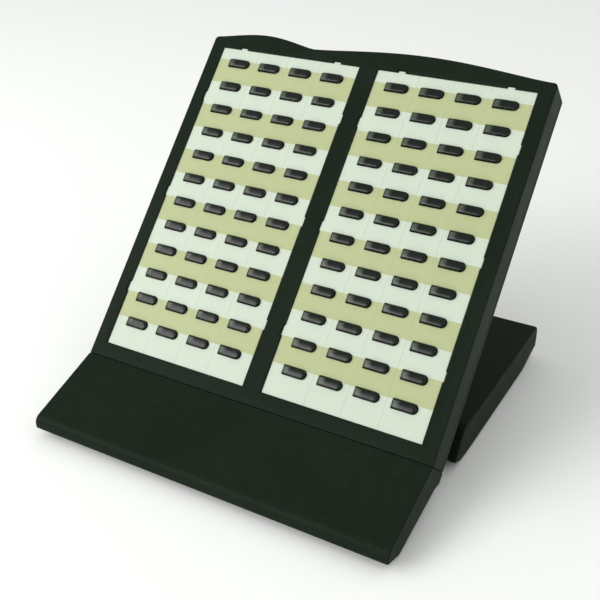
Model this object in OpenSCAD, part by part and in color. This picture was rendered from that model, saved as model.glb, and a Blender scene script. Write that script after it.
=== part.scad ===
// Direct station select console: a leaning case with two fields of lamp keys,
// a sloping hand rest in front and a folding stand behind.
// Desk frame: X across, Y towards the back, Z up from the desk, origin under the middle.
// Case frame: X across, Y up the key panel from the crease, Z out of the key panel.

/* [Case] */
// Width of the case and the hand rest
case_w = 192.8; // [180:0.2:210]
// Height of the case along its face, from the crease to its top corners
case_h = 186.3; // [184:0.1:200]
// Thickness of the case from face to back
case_t = 18.2; // [17.8:0.1:20]
// Thickness of the moulded walls
wall = 2.2; // [1.8:0.1:2.6]
// How far the long arch of the top edge rises above the corners
arch_rise = 4.5; // [0:0.1:6]
// How far the short hump of the top edge rises above the corners
hump_rise = 4.1; // [0:0.1:6]
// Lean of the key panel from the desk, in degrees
tilt = 46.5; // [42:0.5:52]
// Height of the crease between the panel and the hand rest
crease_z = 25.3; // [24:0.1:27]

/* [Keys] */
// Rows of keys in each field
key_rows = 12; // [2:1:12]
// Keys in one row of a field
key_cols = 4; // [2:1:4]
// Distance between the keys along a row
pitch_x = 19; // [17:0.1:19.5]
// Distance between the rows
pitch_y = 13.65; // [12:0.05:13.7]
// Height of the top row's middle above the crease
top_row_y = 171.5; // [165:0.1:172]
// Length of a key cap
key_w = 12.3; // [11:0.1:13]
// Height of a key cap
key_h = 4.3; // [4:0.1:5]
// How far a key cap stands above the bezel
key_proud = 0.6; // [0.2:0.1:1.5]

/* [Label sheets] */
// Width of the window for one label sheet
window_w = 83.2; // [82:0.1:84]
// Height of the window for one label sheet
window_h = 172.4; // [170:0.1:173]
// Width of the bar between the two windows
mullion = 10.5; // [8:0.1:12]
// Depth of the window below the bezel
window_d = 1.1; // [0.9:0.1:1.3]

/* [Hand rest] */
// Horizontal reach of the hand rest in front of the crease
rest_reach = 42.8; // [38:0.1:48]
// Slope of the top of the hand rest, in degrees
rest_slope = 19; // [15:0.5:22]
// Slope of its underside, in degrees
under_slope = 13.5; // [12:0.5:15]
// Radius of its front edge
nose_r = 4.5; // [3:0.1:5]

/* [Stand] */
// Total depth on the desk, from the hand rest to the back of the stand
desk_depth = 190.6; // [185:0.1:200]
// Width of the stand
stand_w = 191.2; // [180:0.2:192]
// Height of the flat top of the stand
stand_top = 19.5; // [19.2:0.1:20]
// Distance from the front edge to the hinge axis
hinge_reach = 67.3; // [66.8:0.1:68]
// Height of the hinge axis
hinge_z = 12; // [11.8:0.1:12.2]
// Radius of the hinge arms round the pins
knuckle_r = 5.5; // [5:0.1:5.8]
// Diameter of the hinge pins
pin_d = 5; // [4:0.1:5.5]

/* [Hidden] */
$fn = 48;
front_y = -desk_depth / 2;
back_y = desk_depth / 2;
crease_y = front_y + rest_reach;
hinge_y = front_y + hinge_reach;
half_w = case_w / 2;
eps = 0.05;
part_gap = 0.15;

// Depths of the layers inside the case, measured from its face
floor_top = -window_d;
floor_bottom = floor_top - 2.1;
flange_top = floor_bottom - 0.4;
flange_t = 0.8;
mat_top = flange_top - flange_t - 2.8;
mat_t = 1;
board_top = mat_top - mat_t;
board_t = 1.6;
board_back = board_top - board_t;
control_top = board_back - 4;
control_back = control_top - board_t;
split_z = -14;
back_floor = -case_t + wall;

// Places across the panel
window_x = (mullion + window_w) / 2;
window_y = 7.6 + window_h / 2;
key_gap = 0.3;
first_col = -(key_cols - 1) / 2 * pitch_x;
top_samples = 44;
hump_from = -half_w + 2;
hump_to = -35;
arch_to = half_w - 4;

// Screws that hold the case together: x and y in the case frame
case_screw_places = [[-90.4, 178], [90.4, 178], [0, 132], [0, 50], [-90.4, 26], [90.4, 26]];
post_r = 3;
pilot_r = 1.25;
clear_r = 1.7;
head_r = 2.8;
case_head_seat = -15.2;
post_end = -9;

// Screws of the key boards, measured from the middle of a field
board_post_x = [-pitch_x, pitch_x];
board_post_rows = [0.5, 5.5, 10.5];
board_post_r = 2;
board_pilot_r = 0.9;
board_head_r = 2.1;

// Control board and its jack
control_x0 = -93.4;
control_x1 = 60;
control_y0 = 3.8;
strip_y = 18;
control_y1 = 43;
control_left = -84;
control_posts = [[-70, 30], [50, 38], [50, 8], [-30, 9]];
jack_l = 16.4;
jack_w = 12.8;
jack_y = 9.8;
jack_mouth_w = 9.8;
jack_mouth_h = 7;
jack_mouth_z = -8.4;
jack_depth = 12;

// Hinge
arm_x0 = 62.2;
arm_x1 = 75.8;
ear_t = 5;
ear_gap = 1.2;
ear_r = 6;
ear_places = [
    -arm_x1 - ear_gap - ear_t, -arm_x0 + ear_gap,
    arm_x0 - ear_gap - ear_t, arm_x1 + ear_gap
];
washer_t = 0.8;
pin_fit = 0.06;
// the hinge axis in the case frame
axis_y = (hinge_y - crease_y) * cos(tilt) + (hinge_z - crease_z) * sin(tilt);
axis_z = -(hinge_y - crease_y) * sin(tilt) + (hinge_z - crease_z) * cos(tilt);

// Stand
stand_bottom = 1.4;
stand_half = stand_w / 2;
cover_t = 2;
cover_y0 = hinge_y + 17;
cover_y1 = 71.8;
stand_screw_places = [[-66, -4], [66, -4], [-66, 64], [66, 64]];
stand_foot_places = [[-84, 2], [84, 2], [-84, 64], [84, 64]];
foot_r = 5;

// Hand rest
contact_z = 1.2;
contact_y = front_y + 10.6;
corner_z = 4.8;
rest_wall = 2.4;
base_seat = 2.42;
rest_screw_places = [[-72, -60], [-24, -60], [24, -60], [72, -60]];
join_screw_x = [-60, 0, 60];
join_z = -9.2;
front_foot_places = [[-80, -75], [80, -75]];

function row_name(side, row) = str("key_row_", side, row < 10 ? "_0" : "_", row);

// ---- Frames and shapes that several pieces share ----

module in_case() {
    translate([0, crease_y, crease_z]) rotate([tilt, 0, 0]) children();
}

// Stands a profile drawn in Y and Z upright and draws it out along X
module along_x(x0, x1) {
    translate([x0, 0, 0]) rotate([90, 0, 90]) linear_extrude(x1 - x0) children();
}

// A point of the case frame in the desk frame, as Y and Z
function on_desk(y, z) = [
    crease_y + y * cos(tilt) - z * sin(tilt),
    crease_z + y * sin(tilt) + z * cos(tilt)
];

function swell(x, x0, x1, rise) =
    x <= x0 || x >= x1 ? 0 : rise * pow(sin(180 * (x - x0) / (x1 - x0)), 1.25);

function top_y(x) =
    case_h + swell(x, hump_from, hump_to, hump_rise) + swell(x, hump_to, arch_to, arch_rise);

function case_outline(inset) = concat(
    [[-half_w + inset, inset], [half_w - inset, inset]],
    [for (i = [0:top_samples])
        let (x = (half_w - inset) * (1 - 2 * i / top_samples))
        [x, top_y(x) - inset]]
);

// The cap of a key: square at the left end, round at the right end
module cap_shape(grow) {
    translate([-key_w / 2 - grow, -key_h / 2 - grow]) square([key_w - key_h / 2 + grow, key_h + 2 * grow]);
    translate([(key_w - key_h) / 2, 0]) circle(r = key_h / 2 + grow, $fn = 32);
}

module at_keys(row_list) {
    for (row = row_list) for (col = [0:key_cols - 1])
        translate([first_col + col * pitch_x, top_row_y - (row - 1) * pitch_y]) children();
}

module at_board_posts() {
    for (x = board_post_x) for (row = board_post_rows)
        translate([x, top_row_y - row * pitch_y]) children();
}

module screw(length, shank_r, top_r, top_h) {
    cylinder(r = shank_r, h = length, $fn = 24);
    translate([0, 0, -top_h]) difference() {
        cylinder(r = top_r, h = top_h, $fn = 32);
        for (turn = [0, 90])
            rotate([0, 0, turn]) cube([top_r * 1.1, 0.6, top_h], center = true);
    }
}

// ---- The case ----

module window_cut(side) {
    translate([side * window_x - window_w / 2, window_y - window_h / 2, floor_top])
        cube([window_w, window_h, window_d + 1]);
    for (x = [-1.5 * pitch_x, 1.5 * pitch_x])
        translate([side * window_x + x - 2.1, window_y + window_h / 2 - 1, floor_top])
            cube([4.2, 2.1, window_d + 1]);
    for (row = [1.55, 5.7, 9.7])
        translate([side * window_x - window_w / 2 - 0.9, top_row_y - row * pitch_y - 2.8, floor_top])
            cube([window_w + 1.8, 5.6, window_d + 1]);
}

module front_cover() {
    color("#20241f") in_case() difference() {
        union() {
            difference() {
                translate([0, 0, split_z]) linear_extrude(-split_z) polygon(case_outline(0));
                translate([0, 0, split_z - 1])
                    linear_extrude(floor_bottom - split_z + 1) polygon(case_outline(wall));
            }
            for (p = case_screw_places)
                translate([p[0], p[1], post_end]) cylinder(r = post_r, h = floor_bottom - post_end + 0.5);
            for (side = [-1, 1])
                translate([side * window_x, 0, board_top]) linear_extrude(floor_bottom - board_top + 0.5)
                    at_board_posts() circle(r = board_post_r, $fn = 24);
        }
        for (side = [-1, 1]) window_cut(side);
        for (side = [-1, 1])
            translate([side * window_x, 0, floor_bottom - 1]) linear_extrude(4)
                at_keys([1:key_rows]) cap_shape(key_gap);
        for (p = case_screw_places)
            translate([p[0], p[1], post_end - 1]) cylinder(r = pilot_r, h = 6, $fn = 24);
        for (side = [-1, 1])
            translate([side * window_x, 0, board_top - 1]) linear_extrude(5)
                at_board_posts() circle(r = board_pilot_r, $fn = 24);
        // mouth of the line jack
        translate([-half_w - 1, jack_y - jack_mouth_w / 2 - 0.3, jack_mouth_z - jack_mouth_h / 2 - 0.2])
            cube([wall + 2, jack_mouth_w + 0.6, jack_mouth_h + 0.4]);
        // holes for the screws that join the hand rest
        for (x = join_screw_x)
            translate([x, -1, join_z]) rotate([-90, 0, 0]) cylinder(r = clear_r, h = wall + 2, $fn = 24);
    }
}

module rear_cover() {
    color("#1c201b") in_case() difference() {
        union() {
            difference() {
                translate([0, 0, -case_t]) linear_extrude(case_t + split_z) polygon(case_outline(0));
                translate([0, 0, back_floor])
                    linear_extrude(split_z - back_floor + 1) polygon(case_outline(wall));
            }
            // lip that centres the two covers on each other
            translate([0, 0, back_floor - eps]) linear_extrude(3.4) difference() {
                polygon(case_outline(wall + part_gap));
                polygon(case_outline(wall + part_gap + 1));
                translate([-half_w, -1]) square([20, jack_y + jack_w / 2 + 4]);
            }
            // lip's root against the wall
            translate([0, 0, back_floor - eps]) linear_extrude(split_z - back_floor) difference() {
                polygon(case_outline(wall - eps));
                polygon(case_outline(wall + part_gap + eps));
            }
            for (p = case_screw_places) translate([p[0], p[1], back_floor - eps]) {
                cylinder(r = post_r, h = post_end - back_floor + eps - 0.1);
                if (p[0] == 0) cylinder(r = head_r + 1.5, h = 2.4);
                else intersection() {
                    cylinder(r = head_r + 1.5, h = 2);
                    translate([-p[0] - half_w + 1, -10, 0]) cube([case_w - 2, 20, 5]);
                }
            }
            for (p = control_posts)
                translate([p[0], p[1], back_floor - eps])
                    cylinder(r = 2.6, h = control_back - back_floor + eps);
            for (x = ear_places)
                along_x(x, x + ear_t) {
                    translate([axis_y, axis_z]) circle(r = ear_r);
                    translate([axis_y - ear_r, axis_z]) square([2 * ear_r, -case_t - axis_z + 1]);
                    // gusset up the back of the case
                    polygon([
                        [axis_y + ear_r - 1, axis_z + 5], [axis_y + ear_r + 6, -case_t + 1],
                        [axis_y + ear_r - 1, -case_t + 1]
                    ]);
                }
        }
        for (p = case_screw_places) translate([p[0], p[1], -case_t - 1]) {
            cylinder(r = clear_r, h = 12, $fn = 24);
            cylinder(r = head_r + 0.3, h = case_head_seat + case_t + 1);
        }
        for (p = control_posts)
            translate([p[0], p[1], -case_t + 0.8]) cylinder(r = board_pilot_r, h = 4, $fn = 24);
        along_x(-half_w, half_w) translate([axis_y, axis_z]) circle(r = pin_d / 2 + pin_fit);
        // room for the line jack
        translate([-half_w + wall, jack_y - jack_w / 2 - 0.4, back_floor + eps])
            cube([jack_l + 2, jack_w + 0.8, 6]);
    }
}

// ---- Keys and labels ----

module key_row(side, row) {
    color("#141614") in_case() translate([side * window_x, 0, 0]) difference() {
        union() {
            translate([0, 0, flange_top - flange_t]) linear_extrude(key_proud - flange_top + flange_t)
                at_keys([row]) cap_shape(0);
            translate([0, 0, flange_top - flange_t]) linear_extrude(flange_t)
                at_keys([row]) square([key_w + 1.7, key_h + 1.5], center = true);
        }
        // hollow over the lamp
        translate([0, 0, flange_top - flange_t - 1]) linear_extrude(flange_t + 3)
            at_keys([row]) translate([-4, 0]) square([2.8, 2.2], center = true);
    }
}

module label_sheet(side) {
    color("#e9ebe4") in_case() translate([side * window_x, 0, floor_top])
        linear_extrude(0.25) sheet_shape(0.2);
}

module sheet_cover(side) {
    color("#f2f4f2", 0.4) in_case() translate([side * window_x, 0, floor_top + 0.25])
        linear_extrude(0.4) sheet_shape(0.15);
}

// Outline of a sheet with its tabs, and its key holes
module sheet_shape(gap) {
    difference() {
        union() {
            translate([-window_w / 2 + gap, window_y - window_h / 2 + gap])
                square([window_w - 2 * gap, window_h - 2 * gap]);
            for (x = [-1.5 * pitch_x, 1.5 * pitch_x])
                translate([x - 1.75, window_y + window_h / 2 - 1]) square([3.5, 1.8]);
            for (row = [1.55, 5.7, 9.7])
                translate([-window_w / 2 - 0.6, top_row_y - row * pitch_y - 2.5]) square([window_w + 1.2, 5]);
        }
        at_keys([1:key_rows]) cap_shape(key_gap + 0.1);
    }
}

// ---- Inside the case ----

module keypad(side) {
    color("#7a7f7c") in_case() translate([side * window_x, 0, 0]) {
        mat_y0 = top_row_y - (key_rows - 1) * pitch_y - 5;
        translate([0, 0, board_top]) linear_extrude(mat_t) difference() {
            translate([-39, mat_y0]) square([78, top_row_y + 5 - mat_y0]);
            at_keys([1:key_rows]) translate([-4, 0]) circle(r = 1.3, $fn = 24);
            at_board_posts() circle(r = board_post_r + 0.4, $fn = 24);
        }
        translate([0, 0, mat_top]) linear_extrude(1) at_keys([1:key_rows])
            translate([1.6, 0]) circle(r = 2.1, $fn = 24);
    }
}

module key_board(side) {
    board_y0 = top_row_y - (key_rows - 1) * pitch_y - 4.8;
    color("#2f6b3c") in_case() translate([side * window_x, 0, board_back])
        linear_extrude(board_t) difference() {
            translate([-40, board_y0]) square([80, top_row_y + 6 - board_y0]);
            at_board_posts() circle(r = board_pilot_r + 0.3, $fn = 24);
        }
}

module lamps(side) {
    color("#e7d9b0") in_case() translate([side * window_x, 0, board_top]) linear_extrude(0.8)
        at_keys([1:key_rows]) translate([-4, 0]) square([1.6, 1.2], center = true);
}

module driver_chips() {
    color("#26282b") in_case() for (side = [-1, 1]) for (y = [80, 118])
        translate([side * window_x - 3.75, y, board_back - 2]) cube([7.5, 12.8, 2]);
}

module control_board() {
    color("#2f6b3c") in_case() translate([0, 0, control_back]) linear_extrude(board_t) difference() {
        union() {
            translate([control_x0, control_y0]) square([control_x1 - control_x0, strip_y - control_y0]);
            translate([control_left, control_y0])
                square([control_x1 - control_left, control_y1 - control_y0]);
        }
        for (p = control_posts) translate(p) circle(r = board_pilot_r + 0.3, $fn = 24);
    }
}

module processor_chip() {
    color("#26282b") in_case() translate([-27, 22, control_top]) cube([14, 14, 1.6]);
}

module crystal() {
    color("silver") in_case() translate([0, 12, control_top]) linear_extrude(3.2) {
        square([7, 4.4], center = true);
        for (side = [-1, 1]) translate([side * 3.5, 0]) circle(r = 2.2, $fn = 24);
    }
}

module capacitors() {
    color("#2b3350") in_case() for (x = [-66, -54, 16])
        translate([x, 10, control_top]) cylinder(r = 3.1, h = 7.4);
}

module board_connectors() {
    color("#e4dfcf") in_case() for (x = [-50, 30]) {
        translate([x - 7, 38, control_top]) cube([14, 4, 2]);
        translate([x - 7, 50, board_back - 2]) cube([14, 4, 2]);
    }
}

module board_cables() {
    color("#c9ccd2") in_case() for (x = [-50, 30])
        along_x(x - 6, x + 6) polygon([
            [42, control_top + 1.3], [50, board_back - 0.8], [50, board_back - 1.1], [42, control_top + 1]
        ]);
}

module line_jack() {
    color("#15171a") in_case() difference() {
        translate([-half_w + wall + 0.2, jack_y - jack_w / 2, control_top])
            cube([jack_l, jack_w, flange_top - control_top]);
        translate([-half_w, jack_y - jack_mouth_w / 2, jack_mouth_z - jack_mouth_h / 2])
            cube([wall + 0.2 + jack_depth, jack_mouth_w, jack_mouth_h]);
        // way of the plug's latch
        translate([-half_w, jack_y - 3, jack_mouth_z + jack_mouth_h / 2 - eps])
            cube([wall + 0.2 + jack_depth - 3, 6, 0.7]);
    }
}

// ---- Screws and feet ----

module board_screws() {
    color("silver") in_case() {
        for (side = [-1, 1]) translate([side * window_x, 0, board_back])
            at_board_posts() screw(5, board_pilot_r, board_head_r, 1.3);
        for (p = control_posts)
            translate([p[0], p[1], control_top])
                mirror([0, 0, 1]) screw(3.4, board_pilot_r, board_head_r, 1.3);
    }
}

module case_screws() {
    color("#3a3d40") in_case() for (p = case_screw_places)
        translate([p[0], p[1], case_head_seat]) screw(10.6, pilot_r, head_r, 2);
}

module hand_rest_screws() {
    color("#3a3d40") for (p = rest_screw_places)
        translate([p[0], p[1], under_z(p[1])]) rotate([under_slope, 0, 0]) screw(8, pilot_r, head_r, 1.6);
}

module joining_screws() {
    color("#3a3d40") in_case() for (x = join_screw_x)
        translate([x, -rest_wall, join_z]) rotate([-90, 0, 0]) {
            screw(rest_wall + wall + 2.4, clear_r - 0.2, head_r, 1.6);
            translate([0, 0, rest_wall + wall]) cylinder(r = head_r, h = 2.4, $fn = 6);
        }
}

module front_feet() {
    color("#101010") intersection() {
        for (p = front_foot_places) translate([p[0], p[1], 0]) cylinder(r = foot_r, h = 8);
        along_x(-half_w, half_w)
            polygon([
                [contact_y, -1], [contact_y + 30, -1],
                [contact_y + 30, under_z(contact_y + 30)], [contact_y, contact_z]
            ]);
    }
}

module stand_feet() {
    color("#101010") for (p = stand_foot_places)
        translate([p[0], p[1], 0]) cylinder(r = foot_r, h = stand_bottom);
}

module stand_screws() {
    color("#3a3d40") for (p = stand_screw_places)
        translate([p[0], p[1], stand_bottom]) screw(9, pilot_r, head_r, 1);
}

// ---- The hand rest ----

function under_z(y) = contact_z + (y - contact_y) * tan(under_slope);
function top_z(y) = crease_z + (y - crease_y) * tan(rest_slope);
nose_y = front_y + nose_r;
nose_z = top_z(nose_y) - nose_r / cos(rest_slope);
under_end = on_desk(-8.5, -14);

function nose_arc() = [for (i = [0:8])
    let (turn = 90 + rest_slope + i * (90 - rest_slope) / 8)
    [nose_y + nose_r * cos(turn), nose_z + nose_r * sin(turn)]];

function rest_profile() = concat(
    [on_desk(0, 0)], nose_arc(),
    [[front_y, corner_z], [contact_y, contact_z], under_end, on_desk(-5.5, -case_t), on_desk(0, -case_t)]
);

// Open space under the top skin of the hand rest
module rest_cavity() {
    roof = rest_wall / cos(rest_slope);
    inner_front = front_y + rest_wall + 0.6;
    foot_y = contact_y + 2.6;
    rear_y = under_end[0] - 2.6;
    polygon([
        on_desk(-rest_wall, -3.4),
        [on_desk(-rest_wall, -3.4)[0] - 4, top_z(on_desk(-rest_wall, -3.4)[0] - 4) - roof],
        [inner_front + 2, top_z(inner_front + 2) - roof],
        [inner_front, nose_z],
        [inner_front, corner_z + 2.2],
        [foot_y, contact_z + 3],
        [foot_y, -2],
        [rear_y, -2],
        [rear_y, under_z(rear_y) + 2.6],
        on_desk(-rest_wall, -14)
    ]);
}

module hand_rest() {
    color("#20241f") difference() {
        union() {
            difference() {
                along_x(-half_w, half_w) polygon(rest_profile());
                along_x(-half_w + rest_wall, half_w - rest_wall) rest_cavity();
            }
            // posts for the screws of the base
            intersection() {
                for (p = rest_screw_places) translate([p[0], p[1], under_z(p[1])])
                    rotate([under_slope, 0, 0]) cylinder(r = post_r, h = 30);
                along_x(-half_w + 1, half_w - 1) polygon([
                    [contact_y, under_z(contact_y) + base_seat],
                    [under_end[0], under_z(under_end[0]) + base_seat],
                    [crease_y, crease_z - 1], [contact_y, top_z(contact_y) - 1]
                ]);
            }
        }
        for (p = rest_screw_places) translate([p[0], p[1], under_z(p[1])])
            rotate([under_slope, 0, 0]) cylinder(r = pilot_r, h = 9, $fn = 24);
        in_case() {
            // fine groove along the crease
            translate([-half_w - 1, -0.5, -0.8]) cube([case_w + 2, 1, 2]);
            for (x = join_screw_x)
                translate([x, -rest_wall - 3, join_z])
                    rotate([-90, 0, 0]) cylinder(r = clear_r, h = 6, $fn = 24);
        }
    }
}

module hand_rest_base() {
    y0 = contact_y + 2.6 + part_gap;
    y1 = under_end[0] - 2.6 - part_gap;
    color("#1c201b") difference() {
        along_x(-half_w + rest_wall + part_gap, half_w - rest_wall - part_gap) polygon([
            [y0, under_z(y0)], [y1, under_z(y1)],
            [y1, under_z(y1) + wall], [y0 + 0.6, under_z(y0 + 0.6) + wall], [y0, under_z(y0) + wall - 0.6]
        ]);
        for (p = rest_screw_places) translate([p[0], p[1], under_z(p[1]) - 2])
            rotate([under_slope, 0, 0]) cylinder(r = clear_r, h = 8, $fn = 24);
    }
}

// ---- The stand ----

function arc(y, z, r, from, to, steps) = [for (i = [0:steps])
    let (turn = from + (to - from) * i / steps)
    [y + r * cos(turn), z + r * sin(turn)]];

function stand_profile() = concat(
    arc(hinge_y + 18.5, stand_top - 5, 5, 90, 145, 6),
    [[hinge_y + 5.7, 5.2], [hinge_y + 12.5, stand_bottom + 0.6], [hinge_y + 20, stand_bottom]],
    [[back_y - 22, stand_bottom], [back_y - 0.7, 6.2], [back_y, 11]],
    arc(back_y - 4, stand_top - 4, 4, 0, 90, 6)
);

module stand_cavity() {
    roof = stand_top - wall;
    polygon([
        [cover_y0 - part_gap, -1], [cover_y0 - part_gap, stand_bottom + cover_t + 1.4],
        [hinge_y + 10, 8], [hinge_y + 17, roof - 1.5], [hinge_y + 19, roof],
        [back_y - 4, roof], [back_y - wall, roof - 3],
        [back_y - wall, 8.4], [cover_y1 + part_gap + 1, 4.4], [cover_y1 + part_gap, -1]
    ]);
}

module stand_shell() {
    color("#20241f") difference() {
        union() {
            difference() {
                along_x(-stand_half, stand_half) polygon(stand_profile());
                along_x(-stand_half + wall, stand_half - wall) stand_cavity();
            }
            for (side = [-1, 1])
                along_x(side > 0 ? arm_x0 : -arm_x1, side > 0 ? arm_x1 : -arm_x0) {
                    translate([hinge_y, hinge_z]) circle(r = knuckle_r);
                    polygon([
                        [hinge_y, hinge_z - knuckle_r], [hinge_y + 13, hinge_z - knuckle_r],
                        [hinge_y + 20, stand_top - 1], [hinge_y + 17, stand_top - 1],
                        [hinge_y, hinge_z + knuckle_r]
                    ]);
                }
            for (p = stand_screw_places)
                translate([p[0], p[1], stand_bottom + cover_t])
                    cylinder(r = post_r, h = stand_top - stand_bottom - cover_t - 1);
            for (x = [-44, 0, 44])
                translate([x - 0.9, cover_y0 + 2, 7]) cube([1.8, back_y - wall - cover_y0 - 2, 11]);
        }
        // bores that hold the hinge pins
        along_x(-stand_half, stand_half) translate([hinge_y, hinge_z]) circle(d = pin_d + 0.04);
        for (p = stand_screw_places)
            translate([p[0], p[1], stand_bottom + cover_t - 1]) cylinder(r = pilot_r, h = 9, $fn = 24);
    }
}

module stand_cover() {
    color("#1c201b") difference() {
        translate([-stand_half + wall + part_gap, cover_y0, stand_bottom])
            cube([stand_w - 2 * wall - 2 * part_gap, cover_y1 - cover_y0, cover_t]);
        for (p = stand_screw_places) translate([p[0], p[1], 0]) cylinder(r = clear_r, h = 6, $fn = 24);
    }
}

module hinge_pins() {
    color("silver") for (side = [-1, 1])
        translate([side * (arm_x0 + arm_x1) / 2, hinge_y, hinge_z]) rotate([0, 90, 0])
            cylinder(d = pin_d, h = arm_x1 - arm_x0 + 2 * (ear_gap + ear_t) - 0.2, center = true);
}

module hinge_washers() {
    color("#8d9094") for (side = [-1, 1]) for (x = [arm_x0 - washer_t / 2, arm_x1 + washer_t / 2])
        translate([side * x, hinge_y, hinge_z]) rotate([0, 90, 0]) difference() {
            cylinder(r = 5, h = washer_t, center = true);
            cylinder(r = pin_d / 2 + 0.1, h = 2, center = true);
        }
}

front_cover();
rear_cover();
hand_rest();
hand_rest_base();
label_sheet(-1);  // label_sheet_left
label_sheet(1);  // label_sheet_right
sheet_cover(-1);  // sheet_cover_left
sheet_cover(1);  // sheet_cover_right
for (row = [1:key_rows]) key_row(-1, row);
for (row = [1:key_rows]) key_row(1, row);
keypad(-1);  // keypad_left
keypad(1);  // keypad_right
key_board(-1);  // key_board_left
key_board(1);  // key_board_right
lamps(-1);  // lamps_left
lamps(1);  // lamps_right
driver_chips();
control_board();
processor_chip();
crystal();
capacitors();
board_connectors();
board_cables();
line_jack();
board_screws();
case_screws();
hand_rest_screws();
joining_screws();
front_feet();
stand_shell();
stand_cover();
stand_screws();
stand_feet();
hinge_pins();
hinge_washers();
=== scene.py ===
"""A telephone key console: a leaning case with ninety-six lamp keys, a hand rest and a folding stand."""

import math

import bmesh
import bpy
from mathutils import Matrix, Vector


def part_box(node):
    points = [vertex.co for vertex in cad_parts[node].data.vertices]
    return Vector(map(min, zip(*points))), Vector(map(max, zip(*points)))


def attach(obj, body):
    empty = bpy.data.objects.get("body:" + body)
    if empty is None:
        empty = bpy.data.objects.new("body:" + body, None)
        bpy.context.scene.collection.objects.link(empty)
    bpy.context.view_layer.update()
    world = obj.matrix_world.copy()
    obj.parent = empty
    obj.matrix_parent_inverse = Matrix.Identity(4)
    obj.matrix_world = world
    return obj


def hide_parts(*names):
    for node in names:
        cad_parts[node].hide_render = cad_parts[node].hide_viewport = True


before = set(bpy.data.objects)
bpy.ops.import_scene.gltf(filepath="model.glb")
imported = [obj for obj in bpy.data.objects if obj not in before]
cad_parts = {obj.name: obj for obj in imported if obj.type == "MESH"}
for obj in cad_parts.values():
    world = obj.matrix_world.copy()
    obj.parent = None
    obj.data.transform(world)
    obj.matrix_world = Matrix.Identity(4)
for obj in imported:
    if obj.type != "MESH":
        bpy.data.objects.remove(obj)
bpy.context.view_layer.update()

# ---- Camera ----
# A small still camera on a tripod. It stands in front of the console and to its right, well above
# its top edge, and looks down at the key panel.

camera_data = bpy.data.cameras.new("camera")
camera_data.sensor_width = 36
camera_data.lens = 56.66
camera_data.shift_x = -0.0459
camera_data.shift_y = -0.0008
camera_data.dof.use_dof = False
camera = bpy.data.objects.new("camera", camera_data)
camera.location = (0.2130, -0.3532, 0.2866)
camera.rotation_euler = [math.radians(turn) for turn in (60.81, 0.23, 29.09)]
bpy.context.scene.collection.objects.link(camera)
bpy.context.scene.camera = camera
bpy.context.scene.view_settings.view_transform = "Standard"


# ---- Floor ----
# A pale matt table top that the console stands on. It runs past the edges of the view.
# Its paint is nearly even, with a faint cloudiness.

def srgb(red, green, blue):
    """A colour given as it looks on a screen, from 0 to 255, as the shader needs it."""
    parts = [value / 255 for value in (red, green, blue)]
    return tuple(p / 12.92 if p <= 0.04045 else ((p + 0.055) / 1.055) ** 2.4 for p in parts) + (1.0,)


def new_material(name, sockets):
    """A material and its Principled shader, with constants set on the shader's own sockets."""
    material = bpy.data.materials.new(name)
    material.use_nodes = True
    shader = material.node_tree.nodes["Principled BSDF"]
    for socket, value in sockets.items():
        shader.inputs[socket].default_value = value
    return material, shader


def add(tree, kind, sockets=(), **settings):
    """A shader node; each of its sockets is given a constant or another node's output."""
    made = tree.nodes.new("ShaderNode" + kind)
    for name, value in settings.items():
        setattr(made, name, value)
    for name, value in dict(sockets).items():
        if isinstance(value, bpy.types.NodeSocket):
            tree.links.new(value, made.inputs[name])
        else:
            made.inputs[name].default_value = value
    return made


def noise(tree, place, scale, detail, distortion=0.0):
    """A cloudy pattern from 0 to 1; its features are about 1 / scale of a metre wide."""
    return add(tree, "TexNoise", {"Vector": place, "Scale": scale, "Detail": detail,
                                  "Distortion": distortion}).outputs[0]


def mix_colours(tree, share, first, second):
    """The output of a node that mixes two colours; share is how much of the second shows."""
    return add(tree, "Mix", {0: share, 6: first, 7: second}, data_type="RGBA").outputs[2]


def surface(tree, shader, colour, rough, height, strength, distance):
    """Links a colour and a roughness to a shader and, through a bump, a height in metres."""
    bump = add(tree, "Bump", {"Height": height, "Strength": strength, "Distance": distance})
    tree.links.new(colour, shader.inputs["Base Color"])
    tree.links.new(rough, shader.inputs["Roughness"])
    tree.links.new(bump.outputs[0], shader.inputs["Normal"])


floor_material, floor_shader = new_material("floor_paint", {"Roughness": 0.75, "Specular IOR Level": 0.2})
floor_tree = floor_material.node_tree
floor_cloud = add(floor_tree, "TexNoise", {"Scale": 3.0, "Detail": 3.0})
floor_colour = mix_colours(floor_tree, floor_cloud.outputs[0], srgb(248, 249, 247), srgb(253, 253, 252))
floor_tree.links.new(floor_colour, floor_shader.inputs["Base Color"])

floor_mesh = bpy.data.meshes.new("floor")
floor_reach = 6.0
floor_mesh.from_pydata(
    [(-floor_reach, -floor_reach, 0), (floor_reach, -floor_reach, 0),
     (floor_reach, floor_reach, 0), (-floor_reach, floor_reach, 0)], [], [(0, 1, 2, 3)])
floor_mesh.materials.append(floor_material)
floor = bpy.data.objects.new("floor", floor_mesh)
bpy.context.scene.collection.objects.link(floor)


# ---- Light ----
# A pale room all round, one broad lamp in front and a small one at the left that glints on the keys,
# as beside a table in a white tent.

world = bpy.data.worlds.new("room")
world.use_nodes = True
world.node_tree.nodes["Background"].inputs["Color"].default_value = srgb(250, 252, 250)
world.node_tree.nodes["Background"].inputs["Strength"].default_value = 0.78
bpy.context.scene.world = world
console_middle = Vector((0, 0, 0.06))


def softbox(name, place, size, power):
    """A square area light that faces the console."""
    lamp = bpy.data.lights.new(name, "AREA")
    lamp.size = size
    lamp.energy = power
    holder = bpy.data.objects.new(name, lamp)
    holder.location = place
    holder.rotation_euler = (Vector(place) - console_middle).to_track_quat("Z", "Y").to_euler()
    bpy.context.scene.collection.objects.link(holder)


softbox("lamp_front", (-1.0, -1.6, 1.05), 1.0, 21.0)
softbox("lamp_left", (-0.95, -0.54, 0.8), 0.45, 3.0)


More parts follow.
